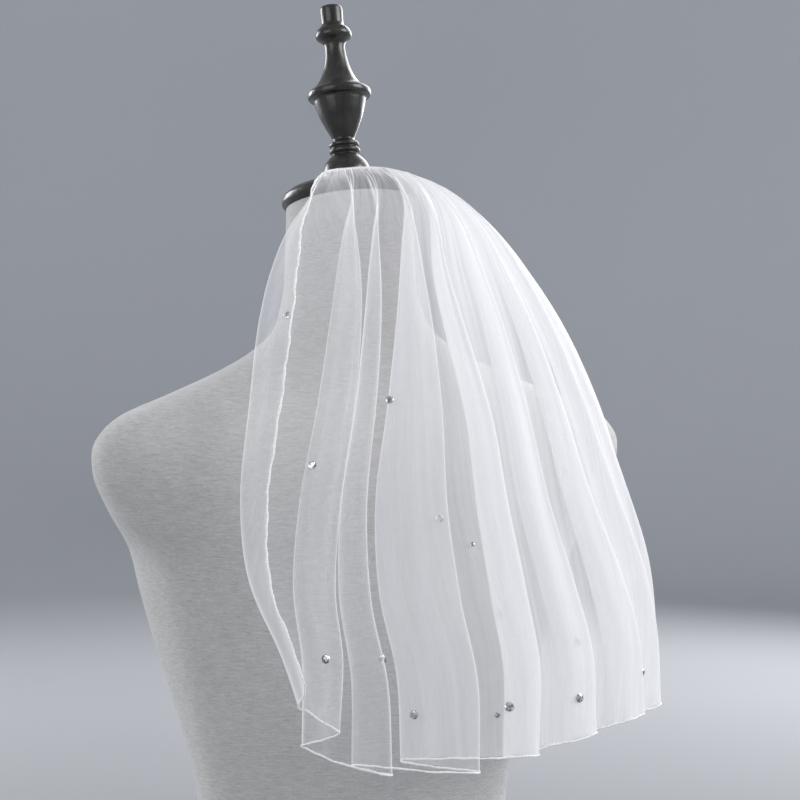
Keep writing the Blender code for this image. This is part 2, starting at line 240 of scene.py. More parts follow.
@dataclass
class NodeDesk:
    """Adds and joins nodes in one node tree."""

    tree: bpy.types.NodeTree

    def add(self, kind: str, inputs: dict | None = None, **settings: object) -> bpy.types.Node:
        """Add a node.

        Args:
            kind: node type without the ShaderNode prefix.
            inputs: socket name or number to a value or an output socket.
            settings: node properties.

        Returns:
            The new node.
        """
        node = self.tree.nodes.new("ShaderNode" + kind)
        for name, value in settings.items():
            setattr(node, name, value)
        self.join(inputs or {}, node)
        return node

    def join(self, feeds: dict, node: bpy.types.Node) -> None:
        """Feed a node's sockets.

        Args:
            feeds: socket name or number to an output that changes over the surface,
                or to a constant.
            node: the node.
        """
        for name, value in feeds.items():
            if isinstance(value, Socket):
                self.tree.links.new(value, node.inputs[name])
            else:
                node.inputs[name].default_value = value

    def math(self, operation: str, first: Feed, second: Feed = 0.0, clamp: bool = False) -> Socket:
        """One Math node; returns its output."""
        return self.add("Math", {0: first, 1: second}, operation=operation, use_clamp=clamp).outputs[0]

    def spread(self, value: Feed, low: float, high: float, to_low: float, to_high: float) -> Socket:
        """Map a value from one range to another, clamped; returns the output."""
        inputs = {"Value": value, "From Min": low, "From Max": high, "To Min": to_low, "To Max": to_high}
        return self.add("MapRange", inputs).outputs["Result"]

    def blend(self, factor: Feed, first: Feed, second: Feed) -> Socket:
        """Mix two colours.

        Args:
            factor: share of the second colour.
            first: colour at 0.
            second: colour at 1.

        Returns:
            The mixed colour.
        """
        node = self.add("Mix", data_type="RGBA")
        live = {socket.name: number for number, socket in enumerate(node.inputs) if socket.enabled}
        self.join({live["Factor"]: factor, live["A"]: first, live["B"]: second}, node)
        return [socket for socket in node.outputs if socket.enabled][0]

    def fibres(
        self, group: bpy.types.NodeTree, place: Socket, stretch: tuple, detail: float = 3.0
    ) -> Socket:
        """Place the drawn-fibres group.

        Args:
            group: the drawn-fibres group.
            place: coordinates to draw on.
            stretch: how fine the fibres are along each axis.
            detail: noise detail.

        Returns:
            The fibres' value.
        """
        node = self.add("Group", {"Vector": place}, node_tree=group)
        node.inputs["Stretch"].default_value = stretch
        node.inputs["Detail"].default_value = detail
        return node.outputs["Value"]

    def relief(self, height: Socket, strength: float, distance: float) -> Socket:
        """Bump node of a height; returns its normal."""
        inputs = {"Height": height, "Strength": strength, "Distance": distance}
        return self.add("Bump", inputs).outputs["Normal"]


def new_group(name: str, inputs: dict, outputs: dict) -> tuple:
    """Make a node group with named sockets.

    Args:
        name: group name.
        inputs: socket name to (type suffix, default or None).
        outputs: socket name to type suffix.

    Returns:
        The group, a desk for it, its input node and its output node.
    """
    group = bpy.data.node_groups.new(name, "ShaderNodeTree")
    for label, (kind, value) in inputs.items():
        socket = group.interface.new_socket(label, in_out="INPUT", socket_type="NodeSocket" + kind)
        if value is not None:
            socket.default_value = value
    for label, kind in outputs.items():
        group.interface.new_socket(label, in_out="OUTPUT", socket_type="NodeSocket" + kind)
    desk = NodeDesk(group)
    return group, desk, group.nodes.new("NodeGroupInput"), group.nodes.new("NodeGroupOutput")


def drawn_fibres_group() -> bpy.types.NodeTree:
    """Group: long soft fibres or streaks, as a 0 to 1 value drawn out along one axis.

    Formula: two noises, one three times as fine as the other, added and eased.

    Returns:
        The node group.
    """
    group, desk, given, result = new_group(
        "drawn_fibres",
        {"Vector": ("Vector", None), "Stretch": ("Vector", (1.0, 1.0, 1.0)), "Detail": ("Float", 3.0)},
        {"Value": "Float"},
    )
    detail = given.outputs["Detail"]
    stretched = {0: given.outputs["Vector"], 1: given.outputs["Stretch"]}
    drawn = desk.add("VectorMath", stretched, operation="MULTIPLY").outputs[0]
    finer = desk.add("VectorMath", {0: drawn, 1: (3.1, 3.1, 3.1)}, operation="MULTIPLY").outputs[0]
    broad = desk.add("TexNoise", {"Vector": drawn, "Scale": 1.0, "Detail": detail}).outputs[0]
    thin = desk.add("TexNoise", {"Vector": finer, "Scale": 1.0, "Detail": detail}).outputs[0]
    both = desk.math("ADD", desk.math("MULTIPLY", broad, 0.62), desk.math("MULTIPLY", thin, 0.38))
    desk.tree.links.new(desk.spread(both, 0.34, 0.66, 0.0, 1.0), result.inputs["Value"])
    return group


def net_group() -> bpy.types.NodeTree:
    """Group: hexagonal net, 1 on the threads and 0 in the holes.

    Formula: distance to the border of the cells round slightly shaken points on a
    staggered lattice.

    Returns:
        The node group.
    """
    group, desk, given, result = new_group(
        "hexagon_net",
        {"Vector": ("Vector", None), "Scale": ("Float", 600.0), "Thread": ("Float", 0.14)},
        {"Thread": "Float"},
    )
    cells = desk.add(
        "TexVoronoi",
        {"Vector": given.outputs["Vector"], "Scale": given.outputs["Scale"], "Randomness": 0.32},
        feature="DISTANCE_TO_EDGE",
        voronoi_dimensions="2D",
    )
    share = desk.math("DIVIDE", cells.outputs["Distance"], given.outputs["Thread"])
    desk.tree.links.new(desk.spread(share, 0.5, 1.3, 1.0, 0.0), result.inputs["Thread"])
    return group


@dataclass(frozen=True)
class Finish:
    """A finish: a material with a Principled shader, dressed by its sub-class."""

    name: str

    def start(self) -> tuple:
        """Make the material.

        Returns:
            The material, a desk for its nodes and its Principled node.
        """
        material = bpy.data.materials.new(self.name)
        material.use_nodes = True
        return material, NodeDesk(material.node_tree), material.node_tree.nodes["Principled BSDF"]


@dataclass(frozen=True)
class TulleFinish(Finish):
    """Sheer white net: clearer where it faces the eye, whiter where it turns away, with a painted glow from
    emission that stands in for light passing through it.
    """

    thinnest: float = 0.0
    edge_alpha: float = 0.95
    colour: tuple = (0.80, 0.80, 0.815, 1.0)
    # painted glow: emission strength that brightens the tulle as if lit through, though it is no lamp
    painted_glow: float = 0.20
    streak: float = 0.20
    streak_stretch: tuple = (105.0, 3.2, 1.0)
    turn_blend: float = 0.36
    net_scale: float = 1000.0

    def material(self, fibres: bpy.types.NodeTree, net: bpy.types.NodeTree) -> bpy.types.Material:
        """Build the material.

        Args:
            fibres: the drawn-fibres group.
            net: the net group.

        Returns:
            The material.
        """
        material, desk, shader = self.start()
        place = desk.add("TexCoord").outputs["UV"]
        turned_away = desk.add("LayerWeight", {"Blend": self.turn_blend}).outputs["Facing"]
        stored = desk.add("Attribute", attribute_name="cover").outputs["Fac"]
        thin = desk.math("MAXIMUM", stored, self.thinnest)
        turning = desk.spread(turned_away, 0.06, 0.94, 0.0, 1.0)
        missing = desk.math("SUBTRACT", self.edge_alpha, thin)
        cover = desk.math("ADD", thin, desk.math("MULTIPLY", turning, missing))
        streaks = desk.fibres(fibres, place, self.streak_stretch, 2.0)
        uneven = desk.spread(streaks, 0.0, 1.0, 1.0 - self.streak, 1.0 + self.streak)
        threads = desk.add("Group", {"Vector": place}, node_tree=net)
        threads.inputs["Scale"].default_value = self.net_scale
        holes = desk.spread(threads.outputs["Thread"], 0.0, 1.0, 0.94, 1.08)
        alpha = desk.math("MULTIPLY", desk.math("MULTIPLY", cover, uneven), holes, clamp=True)
        feeds = {
            "Alpha": alpha,
            "Base Color": self.colour,
            "Roughness": 0.62,
            "Specular IOR Level": 0.25,
            "Sheen Weight": 0.35,
            "Sheen Roughness": 0.4,
            # painted glow: the tulle emits light, standing in for light passing through the net
            "Emission Color": (0.95, 0.95, 1.0, 1.0),
            "Emission Strength": self.painted_glow,
            "Normal": desk.relief(threads.outputs["Thread"], 0.18, 0.0002),
        }
        desk.join(feeds, shader)
        return material


@dataclass(frozen=True)
class ThreadFinish(Finish):
    """Dense white sewing thread laid round and round an edge, with a painted glow from emission."""

    colour: tuple = (0.95, 0.95, 0.955, 1.0)
    wraps: float = 900.0
    # painted glow: emission strength that brightens the thread, though it is no lamp
    painted_glow: float = 0.12

    def material(self, fibres: bpy.types.NodeTree) -> bpy.types.Material:
        """Build the material: threads cross the cord as a fine twill, with painted shade in the grooves
        between the wraps.

        Args:
            fibres: the drawn-fibres group.

        Returns:
            The material.
        """
        material, desk, shader = self.start()
        place = desk.add("TexCoord").outputs["UV"]
        bands = self.wraps / (2.0 * math.pi)
        wrap = desk.add("TexWave", {"Vector": place, "Scale": bands, "Distortion": 1.2})
        soft = desk.fibres(fibres, place, (90.0, 400.0, 1.0))
        # painted shade: the colour is darker where the wrap bump is low, in the grooves between wraps
        painted_groove_shade = desk.spread(wrap.outputs["Fac"], 0.0, 1.0, 0.80, 1.0)
        tone = desk.math("MULTIPLY", painted_groove_shade, desk.spread(soft, 0.0, 1.0, 0.9, 1.0))
        feeds = {
            # base colour: painted groove shade times random fibre tone
            "Base Color": desk.blend(tone, (0.62, 0.62, 0.64, 1.0), self.colour),
            "Normal": desk.relief(wrap.outputs["Fac"], 0.6, 0.0003),
            "Roughness": 0.5,
            "Sheen Weight": 0.3,
            # painted glow: the thread emits a little white light
            "Emission Color": (1.0, 1.0, 1.0, 1.0),
            "Emission Strength": self.painted_glow,
        }
        desk.join(feeds, shader)
        return material


@dataclass(frozen=True)
class JerseyFinish(Finish):
    """Off-white cover knit, with fine slubs running round the form."""

    light: tuple = (0.74, 0.735, 0.72, 1.0)
    dark: tuple = (0.44, 0.435, 0.425, 1.0)

    def material(self, fibres: bpy.types.NodeTree) -> bpy.types.Material:
        """Build the material.

        Args:
            fibres: the drawn-fibres group.

        Returns:
            The material.
        """
        material, desk, shader = self.start()
        place = desk.add("TexCoord").outputs["Object"]
        slubs = desk.fibres(fibres, place, (120.0, 120.0, 760.0))
        rows = desk.fibres(fibres, place, (420.0, 420.0, 900.0))
        worn = desk.add("TexNoise", {"Vector": place, "Scale": 9.0, "Detail": 4.0}).outputs[0]
        tone = desk.math("ADD", desk.math("MULTIPLY", slubs, 0.5), desk.math("MULTIPLY", rows, 0.3))
        tone = desk.math("ADD", tone, desk.math("MULTIPLY", worn, 0.35), clamp=True)
        height = desk.math("ADD", slubs, desk.math("MULTIPLY", rows, 0.8))
        feeds = {
            "Base Color": desk.blend(tone, self.dark, self.light),
            "Normal": desk.relief(height, 0.5, 0.0005),
            "Roughness": 0.92,
            "Specular IOR Level": 0.2,
            "Sheen Weight": 0.25,
            "Sheen Roughness": 0.5,
        }
        desk.join(feeds, shader)
        return material


@dataclass(frozen=True)
class WoodFinish(Finish):
    """Near-black stained wood under satin varnish, its grain along the turning."""

    dark: tuple = (0.006, 0.0055, 0.005, 1.0)
    light: tuple = (0.042, 0.038, 0.031, 1.0)

    def material(self, fibres: bpy.types.NodeTree) -> bpy.types.Material:
        """Build the material.

        Args:
            fibres: the drawn-fibres group.

        Returns:
            The material.
        """
        material, desk, shader = self.start()
        place = desk.add("TexCoord").outputs["Object"]
        grain = desk.fibres(fibres, place, (420.0, 420.0, 36.0), 4.0)
        rubbed = desk.add("TexNoise", {"Vector": place, "Scale": 70.0, "Detail": 5.0}).outputs[0]
        tone = desk.math("MULTIPLY", grain, desk.spread(rubbed, 0.35, 0.7, 0.35, 1.0))
        feeds = {
            "Base Color": desk.blend(tone, self.dark, self.light),
            "Roughness": desk.spread(rubbed, 0.3, 0.7, 0.24, 0.46),
            "Normal": desk.relief(grain, 0.22, 0.0004),
            "Coat Weight": 0.35,
            "Coat Roughness": 0.10,
        }
        desk.join(feeds, shader)
        return material


@dataclass(frozen=True)
class CombFinish(Finish):
    """Clear moulded plastic with faint flow lines."""

    def material(self, fibres: bpy.types.NodeTree) -> bpy.types.Material:
        """Build the material.

        Args:
            fibres: the drawn-fibres group.

        Returns:
            The material.
        """
        material, desk, shader = self.start()
        place = desk.add("TexCoord").outputs["Object"]
        flow = desk.fibres(fibres, place, (60.0, 220.0, 60.0))
        feeds = {
            "Base Color": desk.blend(flow, (0.80, 0.80, 0.78, 1.0), (0.92, 0.92, 0.91, 1.0)),
            "Roughness": desk.spread(flow, 0.0, 1.0, 0.18, 0.30),
            "Alpha": 0.62,
        }
        desk.join(feeds, shader)
        return material


@dataclass(frozen=True)
class CrystalFinish(Finish):
    """Foil-backed cut crystal: painted glints, bright and dark grey patches in its colour that stand in for
    the facets' reflections, each a little different.
    """

    def material(self, fibres: bpy.types.NodeTree) -> bpy.types.Material:
        """Build the material.

        Args:
            fibres: the drawn-fibres group.

        Returns:
            The material.
        """
        material, desk, shader = self.start()
        place = desk.add("TexCoord").outputs["Object"]
        # painted reflection: random cells from dark to bright grey stand in for the glints of the facets
        glint_cells = desk.add("TexVoronoi", {"Vector": place, "Scale": 560.0})
        painted_glint = desk.add("SeparateColor", {0: glint_cells.outputs["Color"]}).outputs[0]
        veined = desk.fibres(fibres, place, (500.0, 500.0, 500.0))
        feeds = {
            "Base Color": desk.blend(painted_glint, (0.22, 0.22, 0.24, 1.0), (0.97, 0.97, 1.00, 1.0)),
            "Roughness": desk.spread(veined, 0.0, 1.0, 0.04, 0.12),
            "Metallic": 0.75,
            "Coat Weight": 1.0,
            "Coat Roughness": 0.03,
        }
        desk.join(feeds, shader)
        return material


class Materials:
    """All finishes of the object, built once."""

    def __init__(self) -> None:
        """Build the two shared groups and every material."""
        fibres = drawn_fibres_group()
        net = net_group()
        self.tulle = TulleFinish("sheer_tulle").material(fibres, net)
        self.gathers = TulleFinish("gathered_tulle", thinnest=0.80, edge_alpha=1.0).material(fibres, net)
        self.thread = ThreadFinish("edge_stitching").material(fibres)
        self.jersey = JerseyFinish("form_cover").material(fibres)
        self.wood = WoodFinish("stained_wood").material(fibres)
        self.comb = CombFinish("comb_clear_plastic").material(fibres)
        self.crystal = CrystalFinish("cut_crystal").material(fibres)


# ---------------------------------------------------------------- dress form
@dataclass
class DressForm:
    """The limbless form: trunk, rounded shoulders and neck, as one loft."""

    neck_top: float = 0.681
    neck_tilt: float = 11.0
    lean_start: float = 0.60
    sharp: float = 60.0
    sides: int = 144
    rings: int = 170
    columns: tuple = ("height", "half_width", "front", "back", "centre", "squareness")
    sections: tuple = (
        (0.000, 0.168, 0.112, 0.116, 0.000, 2.3),
        (0.040, 0.172, 0.114, 0.120, 0.000, 2.3),
        (0.110, 0.158, 0.104, 0.114, 0.004, 2.2),
        (0.200, 0.124, 0.090, 0.086, 0.008, 2.1),
        (0.240, 0.126, 0.096, 0.084, 0.010, 2.1),
        (0.300, 0.141, 0.116, 0.088, 0.013, 2.2),
        (0.350, 0.155, 0.138, 0.091, 0.017, 2.3),
        (0.390, 0.167, 0.142, 0.092, 0.020, 2.4),
        (0.425, 0.180, 0.132, 0.091, 0.023, 2.4),
        (0.455, 0.204, 0.116, 0.086, 0.029, 2.2),
        (0.485, 0.220, 0.100, 0.080, 0.033, 2.1),
        (0.508, 0.217, 0.086, 0.073, 0.033, 2.1),
        (0.524, 0.198, 0.073, 0.067, 0.031, 2.1),
        (0.538, 0.161, 0.064, 0.062, 0.026, 2.0),
        (0.552, 0.123, 0.058, 0.058, 0.019, 2.0),
        (0.566, 0.091, 0.054, 0.055, 0.012, 2.0),
        (0.582, 0.067, 0.051, 0.053, 0.006, 2.0),
        (0.606, 0.054, 0.050, 0.051, 0.001, 2.0),
        (0.640, 0.050, 0.049, 0.049, 0.000, 2.0),
        (0.681, 0.049, 0.048, 0.048, 0.000, 2.0),
    )

    def build(self, finish: bpy.types.Material) -> bpy.types.Object:
        """Loft the form.

        Formula: each ring is a rounded oval |x/a|^n + |y/b|^n = 1 with its own
        front and back depth; rings near the neck's top lean with its cap.

        Args:
            finish: the cover's material.

        Returns:
            The form's object.
        """
        rows = np.array(self.sections)[:, 0]
        heights = np.interp(np.linspace(0.0, 1.0, self.rings), np.linspace(0.0, 1.0, len(rows)), rows)
        turn = np.linspace(0.0, 2.0 * math.pi, self.sides, endpoint=False)[None, :]
        read = {
            name: column(self.sections, self.columns, name, heights)[:, None] for name in self.columns[1:]
        }
        power = 2.0 / read["squareness"]
        across = np.sign(np.cos(turn)) * np.abs(np.cos(turn)) ** power
        along = np.sign(np.sin(turn)) * np.abs(np.sin(turn)) ** power
        y = read["centre"] + np.where(along > 0.0, read["back"], read["front"]) * along
        lean = math.tan(math.radians(self.neck_tilt)) * smooth_step(heights, self.lean_start, self.neck_top)
        z = heights[:, None] + lean[:, None] * y
        points = np.stack([read["half_width"] * across, y, z], axis=-1)
        last = (self.rings - 1) * self.sides
        caps = (tuple(reversed(range(self.sides))), tuple(range(last, last + self.sides)))
        item = new_piece("form", points, grid_faces(self.rings, self.sides, around=True), caps)
        item.data.set_sharp_from_angle(angle=math.radians(self.sharp))
        item.data.materials.append(finish)
        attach(item, ROOT)
        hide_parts("form_body")
        return item


@dataclass
class NeckTurnings:
    """The turned wooden cap on the neck and the finial that stands on it."""

    neck_top: float = 0.681
    neck_tilt: float = 11.0
    seam: float = 0.0003
    cap_radius: float = 0.052
    cap_rim: float = 0.0110
    cap_height: float = 0.0205
    cap_flat: float = 0.0200
    cap_bulge: float = 0.42
    rim_arc: tuple = (-75.0, 68.0)
    sides: int = 96
    sharp: float = 48.0
    outline: tuple = (
        (0.0184, 0.0000),
        (0.0187, 0.0028),
        (0.0180, 0.0070),
        (0.0162, 0.0115),
        (0.0130, 0.0155),
        (0.0108, 0.0175),
        (0.0100, 0.0188),
        (0.0116, 0.0203),
        (0.0118, 0.0223),
        (0.0102, 0.0238),
        (0.0114, 0.0253),
        (0.0114, 0.0273),
        (0.0086, 0.0298),
        (0.0092, 0.0328),
        (0.0130, 0.0408),
        (0.0168, 0.0498),
        (0.0194, 0.0588),
        (0.0206, 0.0628),
        (0.0236, 0.0638),
        (0.0246, 0.0664),
        (0.0238, 0.0694),
        (0.0190, 0.0726),
        (0.0140, 0.0791),
        (0.0105, 0.0876),
        (0.0084, 0.0976),
        (0.0080, 0.1056),
        (0.0098, 0.1091),
        (0.0134, 0.1121),
        (0.0140, 0.1151),
        (0.0126, 0.1186),
        (0.0092, 0.1221),
        (0.0086, 0.1256),
        (0.0088, 0.1350),
        (0.0080, 0.1372),
    )

    def cap_surface(self, radius: float | np.ndarray) -> float | np.ndarray:
        """Height of the cap's sloping top at a radius, above its underside."""
        slope = (self.cap_height - self.cap_rim) / (self.cap_radius - self.cap_flat)
        return self.cap_height - slope * (radius - self.cap_flat)

    def place(self, points: np.ndarray, up: float) -> np.ndarray:
        """Tip points about X by the neck's slope and stand them on its top.

        Formula: y cos t - z sin t and y sin t + z cos t, from the top of the neck.

        Args:
            points: points round the Z axis.
            up: height along the tipped axis.

        Returns:
            The placed points.
        """
        tilt = math.radians(self.neck_tilt)
        x, y, z = points[..., 0], points[..., 1], points[..., 2] + self.seam + up
        tipped_y = y * math.cos(tilt) - z * math.sin(tilt)
        tipped_z = self.neck_top + y * math.sin(tilt) + z * math.cos(tilt)
        return np.stack([x, tipped_y, tipped_z], axis=-1)

    def refined(self, rows: np.ndarray, parts: int) -> np.ndarray:
        """Even curve through outline rows, with `parts` steps between neighbours.

        Formula: Catmull-Rom, whose slopes at a row come from its two neighbours.

        Args:
            rows: (radius, height) rows.
            parts: steps between two rows.

        Returns:
            The finer outline.
        """
        at = np.linspace(0.0, len(rows) - 1.0, (len(rows) - 1) * parts + 1)
        places = np.arange(len(rows), dtype=float)
        table = np.column_stack([places, rows])
        names = ("place", "radius", "height")
        return np.column_stack([column(table, names, "radius", at), column(table, names, "height", at)])

    def turned(
        self, name: str, outline: np.ndarray, up: float, finish: bpy.types.Material, node: str
    ) -> bpy.types.Object:
        """Turn an outline, place it, and dress it.

        Args:
            name: name of the piece.
            outline: (radius, height) rows, bottom to top.
            up: height along the neck's axis.
            finish: its material.
            node: the CAD node it stands for.

        Returns:
            The object.
        """
        points, faces, caps = lathe(outline, self.sides)
        item = new_piece(name, self.place(points, up), faces, caps)
        item.data.set_sharp_from_angle(angle=math.radians(self.sharp))
        item.data.materials.append(finish)
        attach(item, ROOT)
        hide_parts(node)
        return item

    def build(self, finish: bpy.types.Material) -> list:
        """Build the cap and the finial.

        Formula: the cap's outline is an arc for its rim, then a straight slope up to
        a small flat; the finial's is an even curve through its rows; both are turned.

        Args:
            finish: the wood's material.

        Returns:
            Both objects.
        """
        middle = self.cap_rim / 2.0
        bulge = self.cap_rim * self.cap_bulge
        rim = np.radians(np.linspace(*self.rim_arc, 22))
        round_rim = np.column_stack(
            [self.cap_radius - bulge + bulge * np.cos(rim), middle + middle * np.sin(rim)]
        )
        slope = np.linspace(self.cap_radius * 0.88, self.cap_flat, 14)
        top = np.column_stack([slope, self.cap_surface(slope)])
        foot = np.array([[self.cap_radius - bulge * 1.4, 0.0]])
        inner = np.array([[self.cap_flat * 0.5, self.cap_height]])
        cap = self.turned("cap", np.vstack([foot, round_rim, top, inner]), 0.0, finish, "neck_cap")
        fine = self.refined(np.array(self.outline), 5)
        post = self.turned("turned_finial", fine, self.cap_height + self.seam, finish, "finial")
        return [cap, post]

    def on_cap(self, radius: np.ndarray, around: np.ndarray, lift: np.ndarray) -> np.ndarray:
        """World point `lift` above the cap's slope.

        Formula: out and up by `lift` along the slope's normal, then round the axis.

        Args:
            radius: distance from the neck's axis.
            around: direction, from the back, in degrees.
            lift: distance square to the slope.

        Returns:
            The points.
        """
        slope = math.atan((self.cap_height - self.cap_rim) / (self.cap_radius - self.cap_flat))
        turn = np.radians(around)
        out = radius + lift * math.sin(slope)
        up = self.cap_surface(radius) + lift * math.cos(slope)
        flat = np.stack(np.broadcast_arrays(out * np.sin(turn), out * np.cos(turn), up), axis=-1)
        return self.place(flat, 0.0)


# ---------------------------------------------------------------- veil
@dataclass
class VeilCloth:
    """One layer of tulle: its sweep behind the form, its folds and its fine gathers."""

    steps_per_turn: int = 20
    rows: int = 200
    row_spread: float = 1.15
    middle_turn: float = 8.5
    level_columns: tuple = (
        "fall", "height", "centre", "half_width", "depth", "slope", "left_end", "right_end", "swell",
    )
    levels: tuple = (
        (0.00, 0.6971, -0.0030, 0.0482, 0.0473, 0.194, 50.0, -68.0, 0.01),
        (0.03, 0.6935, -0.001, 0.057, 0.053, 0.17, 49.0, -68.0, 0.06),
        (0.07, 0.6880, 0.004, 0.071, 0.060, 0.12, 48.0, -68.0, 0.22),
        (0.12, 0.6750, 0.010, 0.089, 0.070, 0.09, 48.5, -67.0, 0.33),
        (0.19, 0.6510, 0.017, 0.113, 0.083, 0.07, 52.0, -67.0, 0.43),
        (0.26, 0.6225, 0.025, 0.132, 0.094, 0.05, 54.0, -67.0, 0.48),
        (0.33, 0.5940, 0.033, 0.148, 0.103, 0.03, 54.5, -67.0, 0.55),
        (0.47, 0.5340, 0.047, 0.171, 0.118, 0.00, 55.0, -68.0, 0.67),
        (0.62, 0.4690, 0.060, 0.184, 0.131, -0.02, 57.5, -74.0, 0.80),
        (0.75, 0.4120, 0.070, 0.191, 0.138, -0.03, 56.0, -84.0, 0.94),
        (0.87, 0.3590, 0.077, 0.192, 0.142, -0.03, 50.5, -92.0, 1.00),
        (1.00, 0.3020, 0.080, 0.192, 0.144, -0.03, 46.0, -96.0, 1.00),
    )
    turn_columns: tuple = ("at_comb", "at_neck", "at_middle", "at_hem", "out", "rise")
    turns: tuple = (
        (0.000, 0.080, 0.070, 0.034, 0.026, 0.018),
        (0.040, 0.000, 0.000, 0.018, 0.000, 0.018),
        (0.150, 0.240, 0.204, 0.064, 0.013, 0.016),
        (0.205, 0.190, 0.134, 0.004, -0.012, 0.008),
        (0.280, 0.298, 0.246, 0.135, 0.009, -0.004),
        (0.345, 0.280, 0.212, 0.082, -0.012, -0.001),
        (0.425, 0.410, 0.374, 0.255, 0.015, -0.004),
        (0.470, 0.368, 0.279, 0.160, -0.010, 0.002),
        (0.560, 0.478, 0.474, 0.348, 0.015, 0.003),
        (0.610, 0.462, 0.446, 0.322, -0.009, -0.001),
        (0.665, 0.605, 0.572, 0.465, 0.012, 0.010),
        (0.700, 0.592, 0.545, 0.450, -0.012, 0.004),
        (0.750, 0.706, 0.678, 0.596, 0.015, 0.015),
        (0.785, 0.692, 0.660, 0.586, -0.011, 0.008),
        (0.825, 0.792, 0.768, 0.706, 0.014, 0.013),
        (0.860, 0.800, 0.772, 0.712, -0.011, 0.007),
        (0.895, 0.878, 0.868, 0.816, 0.012, 0.014),
        (0.930, 0.910, 0.898, 0.850, -0.010, 0.009),
        (0.965, 0.964, 0.962, 0.940, 0.010, 0.017),
        (1.000, 1.000, 1.000, 1.000, -0.006, 0.022),
    )
    place_falls: tuple = (0.0, 0.26, 0.52, 1.0)
    rise_start: float = 0.55
    turn_round: float = 0.016
    corner_fall: float = 0.12
    corner_width: float = 0.14
    corner_round: float = 2.0
    gathers: int = 58
    gather_depth: float = 0.0012
    ripple: float = 0.0009
    long_pleat: float = 0.0005
    top_width: float = 0.62
    thin_cover: float = 0.10
    dense_cover: float = 0.56
    dense_turns: tuple = (4.8, 10.0)
    upper_cover: float = 0.26
    upper_fade: float = 0.42
    lower_cover: float = 0.14
    lower_falls: tuple = (0.55, 0.9)
    right_turns: tuple = (5.2, 10.0)
    head_gain: float = 0.9
    head_fade: float = 0.16

    def turn_place(self, turn: np.ndarray, fall: np.ndarray) -> np.ndarray:
        """Share of the sweep where a turn lies: from comb to neck to middle to hem.

        Formula: cubic Hermite between the four places, level at the comb.

        Args:
            turn: numbers of the turns.
            fall: share of the way down.

        Returns:
            The share, 0 at the left end and 1 at the right one.
        """
        falls = np.array(self.place_falls)
        places = np.array(self.turns)[:, : len(falls)]
        slopes = np.gradient(places, falls, axis=1)
        slopes[:, 0] = 0.0
        low = np.clip(np.searchsorted(falls, fall, side="right") - 1, 0, len(falls) - 2)
        span = falls[low + 1] - falls[low]
        part = (fall - falls[low]) / span
        start, end = places[turn, low], places[turn, low + 1]
        leaving = slopes[turn, low] * span * part * (1.0 - part) ** 2
        arriving = slopes[turn, low + 1] * span * part * part * (1.0 - part)
        return start + (end - start) * part * part * (3.0 - 2.0 * part) + leaving - arriving

    def turn_value(self, name: str) -> Callable:
        """Lookup of a column of the turns that stays the same down the cloth."""
        values = np.array(self.turns)[:, self.turn_columns.index(name)]
        return lambda turn: values[turn]

    def round_turns(self, value_of: Callable, across: np.ndarray, inward: float = 0.0) -> np.ndarray:
        """Even curve through the turns' values.

        Formula: Catmull-Rom between turns, its slopes less `inward`, which carries
        the cloth inward as it turns back.

        Args:
            value_of: gives a value for an array of turn numbers.
            across: places along the cloth, in turns.
            inward: what each slope is lowered by.

        Returns:
            The value at each place.
        """
        last = len(self.turns) - 1
        low = np.clip(np.floor(across).astype(int), 0, last - 1)
        part = across - low
        before, start, end, after = (value_of(np.clip(low + step, 0, last)) for step in (-1, 0, 1, 2))
        leaving = (0.5 * (end - before) - inward) * part * (1.0 - part) ** 2
        arriving = (0.5 * (after - start) - inward) * part * part * (1.0 - part)
        return start + (end - start) * part * part * (3.0 - 2.0 * part) + leaving - arriving

    def point(self, across: np.ndarray, fall: np.ndarray) -> np.ndarray:
        """Middle of the cloth.

        Formula: an oval arc (a sin t, c + b cos t) behind the form, moved along its
        own normal by the fold's depth; a, b, c and the height are read for each fall.

        Args:
            across: places along the cloth, in turns from the left edge.
            fall: share of the way from comb to hem.

        Returns:
            The points.
        """
        across, fall = np.broadcast_arrays(np.asarray(across, float), np.asarray(fall, float))
        level = {
            name: column(self.levels, self.level_columns, name, fall) for name in self.level_columns[1:]
        }
        share = self.round_turns(lambda turn: self.turn_place(turn, fall), across)
        out = self.round_turns(self.turn_value("out"), across, self.turn_round) * level["swell"]
        rise = self.round_turns(self.turn_value("rise"), across) * smooth_step(fall, self.rise_start, 1.0)
        turn = np.radians(level["left_end"] + (level["right_end"] - level["left_end"]) * share)
        normal_x = np.sin(turn) * level["depth"]
        normal_y = np.cos(turn) * level["half_width"]
        length = np.hypot(normal_x, normal_y)
        x = level["half_width"] * np.sin(turn) + out * normal_x / length
        y = level["centre"] + level["depth"] * np.cos(turn)
        z = level["height"] + level["slope"] * y + rise
        return np.stack([x, y + out * normal_y / length, z], axis=-1)

    def across_places(self) -> np.ndarray:
        """Places of the grid's columns, closer together at each turn.

        Formula: even steps less a tenth of a sine of themselves, from turn to turn.

        Returns:
            The places, in turns.
        """
        even = np.linspace(0.0, 1.0, self.steps_per_turn, endpoint=False)
        eased = even - 0.10 * np.sin(2.0 * math.pi * even)
        places = np.add.outer(np.arange(len(self.turns) - 1), eased).ravel()
        return np.append(places, len(self.turns) - 1.0)

    def width_share(self, across: np.ndarray) -> np.ndarray:
        """Share of the cut width at each place, measured along the hem.

        Args:
            across: places along the cloth, in turns.

        Returns:
            Shares from 0 at the left edge to 1 at the right.
        """
        last = len(self.turns) - 1
        fine = np.linspace(0.0, last, last * 12 + 1)
        run = run_along(self.point(fine, np.ones_like(fine)))
        return np.interp(across, fine, run / run[-1])

